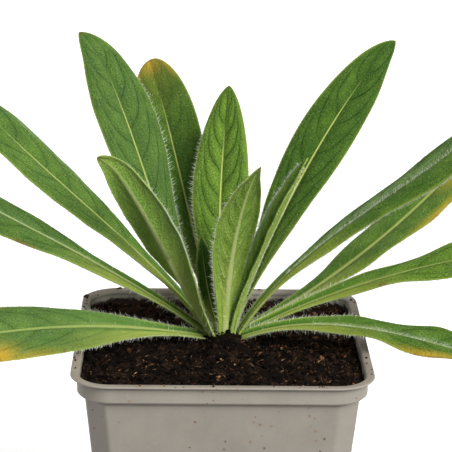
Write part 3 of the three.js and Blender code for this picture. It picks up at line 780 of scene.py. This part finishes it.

# Each leaf starts on the crown at seat (angle, radius) and runs for length. heading, rise and roll
# go from stalk to tip, in degrees, and wave is (height, count). tone makes it paler, and haze makes
# it greyer, partly for the hairs that lie on it and partly as painted sheen. silver, yellow and
# brown list places as (share of length, side from -1 to 1, reach along, reach across, strength);
# the first pales the leaf where its hairs are thick, partly as painted sheen. ridgeHairs is (first,
# last, 0 for the upper face or 1 for the lower), and beard is (side, first, last)
leaves = {
    "leaf_low_left": {
        "seat": (205, 6.2), "length": 122, "heading": (201, 195), "rise": (16, -21), "arch": 2,
        "width": 20.5, "widest": 0.52, "stalk": 4.2, "roll": (-16, -53), "fold": -4,
        "wave": (0.8, 2), "tone": 0.1, "haze": 0.2, "veinShow": 0.8, "ribShow": 0.5, "ribWide": 1.3,
        "yellow": [(0.57, 0.9, 0.06, 0.45, 0.95), (0.5, 1, 0.1, 0.2, 0.5),
                   (0.54, -1, 0.03, 0.15, 0.5)],
        "brown": [(0.57, 1, 0.012, 0.12, 0.8), (0.398, 1, 0.005, 0.06, 0.9)]},
    "leaf_left": {
        "seat": (173, 5), "length": 139, "heading": (189, 183), "rise": (38, 31), "arch": -5,
        "width": 16.6, "widest": 0.7, "roll": (-13, -40), "fold": -8, "wave": (0.6, 3),
        "tone": 0.05, "haze": 0.13, "veinShow": 0.75, "ribShow": 0.65,
        "silver": [(0.45, 0, 0.35, 0.15, 0.25)], "brown": [(0.48, 1, 0.035, 0.1, 0.75)]},
    "leaf_left_long": {
        "seat": (203, 3.5), "length": 115, "heading": (172, 163), "rise": (52, 47), "arch": -10,
        "width": 17.4, "widest": 0.65, "roll": (4, -31), "fold": 2, "wave": (0.2, 3), "tone": 0.18,
        "haze": 0.12, "veinShow": 0.85, "ribShow": 0.8, "silver": [(0.6, -1, 0.4, 0.25, 0.6)]},
    "leaf_tall_left": {
        "seat": (135, 4.8), "length": 103, "heading": (160, 149), "rise": (53, 53), "arch": 16,
        "width": 20.5, "widest": 0.64, "blunt": 0.71, "roll": (-11, -36), "fold": 5,
        "wave": (0.5, 2), "hook": 15, "tone": 0.12, "haze": 0.17,
        "brown": [(1, 0, 0.012, 1, 0.6), (0.33, -1, 0.006, 0.12, 0.9)]},
    "leaf_back": {
        "seat": (102, 5), "length": 102, "heading": (113, 107), "rise": (42, 31), "arch": 13,
        "width": 20.5, "widest": 0.7, "blunt": 0.53, "roll": (0, -35), "fold": 6, "wave": (0.6, 2),
        "tone": 0.06, "veinShow": 0.4, "ribShow": 0.8, "stalkShow": 0.3,
        "yellow": [(1, 0.2, 0.08, 1.2, 0.75), (0.93, 1, 0.08, 0.3, 0.7),
                   (0.95, -0.9, 0.08, 0.3, 0.4), (1, 0, 0.2, 1.5, 0.14)],
        "brown": [(1, 0.2, 0.012, 1, 0.85)]},
    # Part of this leaf's tone is painted light: it is raised to lift its lower part, which faces
    # away from the key lamp
    "leaf_front_left": {
        "seat": (240, 5.2), "length": 76.5, "heading": (214, 208), "rise": (57, 52), "arch": 6,
        "width": 16.4, "widest": 0.38, "stalk": 5.4, "blunt": 0.61, "roll": (-33, 74), "fold": 6,
        "wave": (0.4, 2), "hook": -22, "tone": 0.21, "haze": 0.12, "veinShow": 0.35, "ribWide": 1.1,
        "silver": [(0.6, 1, 0.3, 0.2, 0.6)], "brown": [(1, 0, 0.02, 1, 0.7)]},
    "leaf_centre": {
        "seat": (88, 2.6), "length": 79, "heading": (102, 73), "rise": (63, 72), "arch": -4,
        "width": 18, "widest": 0.56, "blunt": 0.68, "roll": (-6, 2), "fold": 6, "wave": (0.5, 2),
        "tone": 0.38, "stalkShow": 0.3},
    "leaf_front_right": {
        "seat": (267, 4.8), "length": 64, "heading": (304, 302), "rise": (90, 56), "arch": 2,
        "width": 14.6, "widest": 0.54, "blunt": 1, "roll": (10, -16), "fold": 3, "wave": (0.3, 2),
        "hook": 8, "tone": 0.2, "veinShow": 0.9, "ribWide": 0.7, "stalkShow": 0.7,
        "brown": [(1, 0, 0.02, 1, 0.7)]},
    # This leaf's high tone is painted light, standing in for light that shines through the blade
    # and into its fold
    "leaf_folded": {
        "seat": (305.5, 3.6), "length": 66, "heading": (342, 325), "rise": (81, 67), "arch": -8,
        "width": 8.2, "widest": 0.7, "roll": (46, 52), "fold": 45, "wave": (0.3, 2), "tone": 0.75,
        "haze": 0.12, "veinShow": 0.3, "stalkShow": 0.4, "ridgeHairs": (0.05, 0.95, 1),
        "beard": (1, 0.1, 0.95), "silver": [(0.6, 1, 0.5, 0.4, 0.5)]},
    "leaf_tall_right": {
        "seat": (59, 4.4), "length": 109, "heading": (32, 40), "rise": (65, 37.5), "arch": 3,
        "width": 18, "widest": 0.62, "blunt": 0.7, "roll": (7, 68), "fold": 14, "wave": (0.5, 3),
        "hook": -8, "tone": 0.05, "stalkShow": 0.25,
        "brown": [(0.848, -1, 0.006, 0.08, 0.9), (0.835, -0.72, 0.006, 0.07, 0.5)]},
    "leaf_right": {
        "seat": (0, 3.9), "length": 124, "heading": (1, 4), "rise": (60.5, 53.5), "arch": -21,
        "width": 15, "widest": 0.69, "roll": (12, 22), "fold": -9, "wave": (0.6, 3), "tone": 0.15,
        "veinShow": 0.5, "ribShow": 0.15, "ridgeHairs": (0.2, 0.8, 0), "beard": (-1, 0.25, 0.85),
        "silver": [(0.5, 0.25, 0.35, 0.3, 0.3)]},
    "leaf_back_right": {
        "seat": (34, 6.2), "length": 134, "heading": (37, 45), "rise": (9, 28.5), "arch": 5,
        "width": 18.5, "widest": 0.6, "roll": (-11, 16), "fold": 5, "wave": (0.7, 3), "tone": 0.2,
        "veinShow": 0.25, "ribShow": 0.6, "ribWide": 2.2,
        "yellow": [(0.62, -1, 0.1, 0.2, 0.6), (0.74, -0.3, 0.06, 0.5, 0.35)],
        "brown": [(0.6, -1, 0.02, 0.05, 0.6), (0.67, -1, 0.012, 0.06, 0.6)]},
    "leaf_wavy": {
        "seat": (6, 6.2), "length": 141, "heading": (-4, -6), "rise": (31, 6), "arch": -4,
        "width": 15.6, "widest": 0.73, "roll": (19, 39), "fold": 5, "wave": (1.4, 4), "tone": 0.33,
        "veinShow": 0.6, "ribShow": 0.35, "brown": [(0.33, -0.9, 0.012, 0.15, 0.7)]},
    "leaf_low_right": {
        "seat": (333, 6.2), "length": 120, "heading": (-20, -14), "rise": (27, -8), "arch": -19,
        "width": 16, "widest": 0.6, "stalk": 4.2, "roll": (20, 0), "fold": 3, "wave": (1.2, 4),
        "tone": 0.18, "veinShow": 0.6, "ribShow": 0.4, "ridgeHairs": (0.2, 0.7, 0),
        "silver": [(0.45, 0, 0.3, 0.15, 0.5)], "yellow": [(0.52, -1, 0.09, 0.22, 0.9)],
        "brown": [(0.485, -1, 0.01, 0.1, 0.7), (0.53, -1, 0.05, 0.06, 0.5)]},
    "leaf_inner": {
        "seat": (185, 1.6), "length": 31, "heading": (131, 130), "rise": (63, 85), "arch": -1,
        "width": 8.4, "widest": 0.5, "roll": (0, 0), "fold": 15, "wave": (0, 1), "tone": -0.15,
        "veinShow": 0.3},
}
leafUsual = {
    "stalk": 3.5, "blunt": 0.8, "hook": 0, "haze": 0.01, "veinShow": 1, "ribShow": 1, "ribWide": 1,
    "stalkShow": 1, "ridgeHairs": None, "beard": None, "silver": [], "yellow": [], "brown": [],
}

# The domed crown that the leaves stand on, and the room that their feet keep from it
crown = {"top": (1, 4, 92.1), "radius": 6.8, "domeRise": 1, "seatGap": 0.45, "seatDepth": 1.6}


# Full width of a leaf at each share t of its length
def leafWidth(leaf, t):
    toWidest = np.maximum(0, (t - blade["swellStart"]) / (leaf["widest"] - blade["swellStart"]))
    swell = np.sin(np.pi / 2 * np.minimum(toWidest, 1)) ** blade["swellPower"]
    narrow = min(leaf["stalk"], leaf["width"] / 2)
    toTip = np.maximum(0, (t - leaf["widest"]) / (1 - leaf["widest"]))
    ending = leaf["width"] * np.maximum(1 - toTip ** 2, 0) ** leaf["blunt"]
    return np.where(t < leaf["widest"], lerp(narrow, leaf["width"], swell),
                    np.maximum(blade["tipWidth"], ending))


# The way that has a compass heading and a rise, in radians
def wayTo(heading, rise):
    flat = np.cos(rise)
    return np.hstack([flat * np.cos(heading), flat * np.sin(heading), np.sin(rise)])


# Midrib points of a leaf, with the ways ahead, across and out of its upper face
def leafSpine(leaf):
    rows = blade["rows"]
    t = np.linspace(0, 1, rows + 1)[:, None]
    heading = np.radians(lerp(*leaf["heading"], t))
    rise = np.radians(lerp(*leaf["rise"], t) + leaf["arch"] * 4 * t * (1 - t))
    roll = np.radians(lerp(*leaf["roll"], t))
    ahead, level = wayTo(heading, rise), wayTo(heading + np.pi / 2, 0 * t)
    across = level * np.cos(roll) + np.cross(ahead, level) * np.sin(roll)
    out = np.cross(ahead, across)
    bend = np.radians(leaf["hook"]) * smoothstep(t, blade["hookStart"], 1)
    ahead, across = (ahead * np.cos(bend) + across * np.sin(bend),
                     across * np.cos(bend) - ahead * np.sin(bend))
    angle, radius = leaf["seat"]
    lift = crown["domeRise"] * (1 - (radius / crown["radius"]) ** 2) + crown["seatGap"]
    lift += crown["seatDepth"] * math.cos(math.radians(leaf["rise"][0]))
    start = crown["top"] + radius * wayTo(math.radians(angle), 0) + (0, 0, lift)
    steps = (ahead[1:] + ahead[:-1]) * leaf["length"] / rows / 2
    points = np.vstack([start, start + np.cumsum(steps, 0)])
    # The stalk goes on into the peat, steeper than it comes out
    down = -wayTo(heading[0], np.maximum(rise[0], math.radians(blade["rootRise"])))
    back = np.linspace(blade["rootLength"], 0, blade["rootRows"], endpoint=False)[:, None]
    ways = (np.vstack([np.repeat(way[:1], len(back), 0), way]) for way in (ahead, across, out))
    return np.vstack([0 * back, t])[:, 0], np.vstack([start + down * back, points]), *ways


# Soft spots on a leaf, each 1 times its strength in its middle
def softSpots(spots, t, u):
    total = 0 * t
    for place, side, reachAlong, reachAcross, strength in spots:
        far = ((t - place) / reachAlong) ** 2 + ((u - side) / reachAcross) ** 2
        total = np.maximum(total, strength * np.exp(-far * 1.4))
    return total


def makeLeaf(name, leaf, seed):
    draw = np.random.default_rng(seed)
    t, spine, ahead, across, out = leafSpine(leaf)
    rows, columns = len(t) - 1, blade["columns"]
    bpy.ops.mesh.primitive_grid_add(x_subdivisions=rows, y_subdivisions=columns, size=2)
    obj = bpy.context.object
    grid = meshPoints(obj.data)
    row = np.rint((grid[:, 0] + 1) / 2 * rows).astype(int)
    u = grid[:, 1]
    half = leafWidth(leaf, t)[row] / 2
    t = t[row]
    distance = abs(u) * half
    edge = half - distance
    fold = math.radians(leaf["fold"])
    waveHeight, waveCount = leaf["wave"]
    fade = smoothstep(t, *blade["waveStart"]) * smoothstep(1 - t, 0, blade["waveEnd"])
    turn = 2 * np.pi * t
    wave = waveHeight * fade * u * u * np.sin(waveCount * turn + np.sign(u) * blade["waveShift"])
    # Side veins leave the midrib at 45 degrees and curve forward until they run along the margin
    most = leaf["width"] / 2
    slant, arch, power = blade["veinSlant"], blade["veinArch"], blade["veinPower"]
    phase = leaf["length"] * t - most * (slant * abs(u) + arch * abs(u) ** power)
    spacing = blade["veinSpacing"] * leaf["length"]
    phase = phase / spacing + draw.uniform(0, 1)
    slope = (slant + arch * power * abs(u) ** (power - 1)) * np.minimum(most / half, 2.5)
    pitch = spacing / np.hypot(1, slope)
    shown = (1 - smoothstep(abs(u), *blade["veinFade"])) * smoothstep(t, *blade["veinStart"])
    pitch = pitch / np.maximum(shown, 0.05)
    sided = phase + np.where(u < 0, sideVein["offset"], 0)
    fromVein = abs(sided - np.rint(sided)) * pitch
    ribHalf = lerp(*blade["ribHalf"], t) * min(1, leaf["width"] / blade["ribFullFrom"])
    # The relief of the blade, which passes into that of the channelled stalk
    relief = -blade["groove"] * np.exp(-(distance / blade["grooveHalf"]) ** 2) * (1 - t)
    relief += blade["bulge"] * half * np.sin(np.pi * abs(u)) * (1 - smoothstep(t, 0.85, 1))
    quilt = smoothstep(fromVein, 0, blade["quiltReach"]) * smoothstep(distance, 0.4, 2)
    relief += blade["quilt"] * leaf["veinShow"] * quilt * smoothstep(edge, 0, 2)
    relief -= blade["edgeTurn"] * (1 - smoothstep(edge, 0, blade["edgeReach"]))
    stalkRelief = blade["channel"] * u * u + blade["ridge"] * np.cos(4 * np.pi * u)
    relief = lerp(stalkRelief, relief, smoothstep(t, *blade["bladeStart"]))
    a, b = draw.uniform(0, 6.28, 2)
    slow, fast = blade["ruffles"]
    ruffle = np.sin(slow * turn + a + np.sign(u)) + 0.6 * np.sin(fast * turn + b - u)
    relief += blade["ruffle"] * ruffle * u * u * fade
    points = spine[row] + across[row] * (half * u * math.cos(fold))[:, None]
    points += out[row] * (half * abs(u) * math.sin(fold) + wave + relief)[:, None]
    setPoints(obj.data, points * mm)
    thick = blade["thickness"] + blade["ribThickness"] * (1 - t) * (1 - abs(u)) ** blade["ribPower"]
    mesh = obj.data
    setAttribute(mesh, "leafMm", np.stack([leaf["length"] * t, u * half, 0 * t + seed * 37.0], 1),
                 "FLOAT_VECTOR")
    # near runs across the stalk from its back side to its front side, which the stalk colours paint
    # paler
    values = {"along": t, "side": u, "vein": phase, "pitch": pitch, "edge": edge,
              "rib": distance / ribHalf / leaf["ribWide"],
              "near": 0.5 + u / 2 * (1 if 90 < leaf["heading"][0] < 270 else -1)}
    for part in ("tone", "haze", "veinShow", "ribShow", "stalkShow"):
        values[part] = 0 * t + leaf[part]
    for part in ("silver", "yellow", "brown"):
        values[part] = softSpots(leaf[part], t, u)
    for part, value in values.items():
        setAttribute(mesh, part, value)
    group = obj.vertex_groups.new(name="thickness")
    thickest = thick.max()
    for index, weight in enumerate((thick / thickest).tolist()):
        group.add([index], weight, "REPLACE")
    mesh.materials.append(leafUpper)
    mesh.materials.append(leafLower)
    applyModifier(obj, "SOLIDIFY", thickness=thickest * mm, offset=-1, vertex_group="thickness",
                  material_offset=1, material_offset_rim=1)
    obj.vertex_groups.clear()
    bpy.ops.object.shade_smooth_by_angle(angle=math.radians(55))
    settle(obj, name + "_blade", name)
    order = np.lexsort((u, row))
    return {
        "points": points[order].reshape(rows + 1, columns + 1, 3),
        "thick": thick[order].reshape(rows + 1, columns + 1),
        "ahead": ahead, "across": across, "out": out,
    }


# Two kinds of hair: stiff bristles, thick at the foot, and fine ones, in millimetres. Each group
# has its spacing, its shortest and its longest, but short starts with the hairs to a square mm
bristle = {
    "stiffRadius": 0.08, "fineRadius": 0.052, "marginRadius": 0.055, "shortRadius": 0.045,
    "sink": 0.12, "stalkEnd": 0.38,
    "thorn": (0.9, 1.4, 2.4), "margin": (0.5, 0.8, 1.6), "fringe": (0.2, 0.25, 0.5),
    "stalk": (0.24, 0.9, 2.1), "rib": (1.1, 0.5, 1.1), "ridge": (0.1, 0.5, 1.2),
    "beard": (0.11, 0.7, 1.5), "short": (0.7, 0.3, 0.6),
}


# One bristle, 1 long and 1 in radius at its foot, pointing up
def bristleModel():
    bpy.ops.mesh.primitive_cone_add(vertices=3, radius1=1, radius2=0, depth=1, location=(0, 0, 0.5),
                                    end_fill_type="TRIFAN")
    model = bpy.context.object
    bpy.ops.object.transform_apply(location=True)
    openMesh()
    bpy.ops.mesh.dissolve_limited()
    bpy.ops.mesh.quads_convert_to_tris()
    bpy.ops.object.mode_set(mode="OBJECT")
    return model


bristleShape = bristleModel()


# Points of a leaf at shares t and sides u of its upper or lower face, with the local ways
def onLeaf(surface, t, u, under):
    rows, columns = blade["rows"], blade["columns"]
    r = blade["rootRows"] + np.clip(t, 0, 0.9999) * rows
    c = np.clip((u + 1) / 2 * columns, 0, columns - 1e-4)
    i, j = r.astype(int), c.astype(int)
    f, g = (r - i)[:, None], (c - j)[:, None]
    grid = surface["points"]
    point = lerp(lerp(grid[i, j], grid[i, j + 1], g),
                 lerp(grid[i + 1, j], grid[i + 1, j + 1], g), f)
    ahead, across, out = (surface[way][i] for way in ("ahead", "across", "out"))
    return point - out * (surface["thick"][i, j] * under)[:, None], ahead, across, out


def growBristles(name, leaf, surface, seed):
    draw = np.random.default_rng(seed + 500)
    length, width = leaf["length"], leaf["width"]
    stiff, fine, medium = (bristle[kind + "Radius"] for kind in ("stiff", "fine", "margin"))
    groups = []

    def spread(low, high):
        return draw.uniform(low, high, count)

    def grow(t, u, under, forward, sideways, outward, lengths, thick, pale=1.0):
        u, under, thick, pale = (value + 0 * t for value in (u, under, thick, pale))
        point, ahead, across, out = onLeaf(surface, t, u, under)
        outward = outward * np.where(under > 0.5, -1, 1)
        way = ahead * forward[:, None] + across * sideways[:, None] + out * outward[:, None]
        way /= np.linalg.norm(way, axis=1, keepdims=True)
        groups.append((point - way * bristle["sink"], way, lengths, thick, pale))

    # Margins: thorn-like ones and finer ones, both denser near the stalk, and a short fringe
    for side in (1, -1):
        for kind, share, thick, first, last, crowd in (
                ("thorn", 0.7, stiff, 0.02, 0.9, 1.3),
                ("margin", 0.98, medium, 0.02, 0.97, 1.2),
                ("fringe", 1.0, fine, 0.15, 0.99, 1.0)):
            every, *reach = bristle[kind]
            count = int(length * share / every)
            t = (np.arange(count) + spread(0, 0.9)) / count
            t = first + (last - first) * t ** crowd
            short = 1 - 0.6 * smoothstep(t, 0.55, 1)
            grow(t, side, spread(0, 0.5), spread(0, 0.6), side * spread(0.7, 1),
                 spread(-0.4, 0.6), spread(*reach) * short, thick)
    # Stalk, all round
    every, *reach = bristle["stalk"]
    count = int(length * bristle["stalkEnd"] / every)
    t = bristle["stalkEnd"] * draw.beta(1, 1.3, count)
    u = draw.choice((-1, 1), count) * (1 - draw.beta(0.6, 1.6, count))
    grow(t, u, draw.integers(0, 2, count), spread(-0.2, 0.6), u + spread(-0.4, 0.4),
         spread(0.5, 1), spread(*reach), np.where(spread(0, 1) < 0.12, stiff, fine * 0.75), 0.68)
    # Midrib on both faces
    every, *reach = bristle["rib"]
    count = int(length / every)
    t = spread(0.25, 0.95)
    u = draw.normal(0, 0.5, count) / (leafWidth(leaf, t) / 2)
    grow(t, u, spread(0, 1) < 0.65, spread(0.1, 0.9), spread(-0.6, 0.6), spread(0.5, 1),
         spread(*reach) * (1 - 0.5 * t), fine)
    # Rows along the ridge of some leaves
    if leaf["ridgeHairs"]:
        first, last, under = leaf["ridgeHairs"]
        every, *reach = bristle["ridge"]
        count = int(length * (last - first) / every)
        grow(spread(first, last), draw.normal(0, 0.06, count), under, spread(0.2, 1),
             spread(-0.5, 0.5), spread(0.5, 1), spread(*reach), fine)
    # A beard along one margin
    if leaf["beard"]:
        side, first, last = leaf["beard"]
        every, *reach = bristle["beard"]
        count = int(length * (last - first) / every)
        grow(spread(first, last), side, spread(0, 0.5), spread(-0.2, 0.7), side * spread(0.6, 1),
             spread(-0.4, 0.9), spread(*reach), medium)
    # Short hairs over both faces, leaning forward
    perSquareMm, *reach = bristle["short"]
    count = int(length * width * 0.75 * 2 * perSquareMm)
    t = spread(0.12, 0.98)
    t = t[spread(0, 1) < leafWidth(leaf, t) / width]
    count = len(t)
    grow(t, spread(-0.97, 0.97), draw.integers(0, 2, count), spread(0.6, 1.2),
         spread(-0.4, 0.4), spread(0.25, 0.7), spread(*reach), bristle["shortRadius"], 0.45)
    places, ways, lengths, thick, pale = (np.concatenate(parts) for parts in zip(*groups))
    sideways = np.cross(ways, [0.3, 0.5, 0.81])
    sideways /= np.linalg.norm(sideways, axis=1, keepdims=True)
    radius = (thick * np.clip(lengths, 0.8, 1.1))[:, None]
    axes = np.stack([sideways * radius, np.cross(ways, sideways) * radius,
                     ways * lengths[:, None]], 2)
    obj = scatter(bristleShape, places, axes, pale, tipTone=True)
    obj.data.materials.append(bristleWhite)
    settle(obj, name + "_bristles")
    return len(places)


bristleCount = 0
for number, (leafName, leafForm) in enumerate(leaves.items()):
    leafForm = {**leafUsual, **leafForm}
    leafSurface = makeLeaf(leafName, leafForm, number + 1)
    bristleCount += growBristles(leafName, leafForm, leafSurface, number + 1)
bpy.data.objects.remove(bristleShape)
print("leaves:", len(leaves), "with", bristleCount, "bristles")

bpy.ops.mesh.primitive_plane_add(size=8, location=(0, 0, 0))
floor = bpy.context.object
floor.name = "paper_floor"
floor.data.materials.append(whitePaper())
floor.visible_diffuse = False  # the even sky stands for the light that the paper throws back
floor.visible_shadow = False
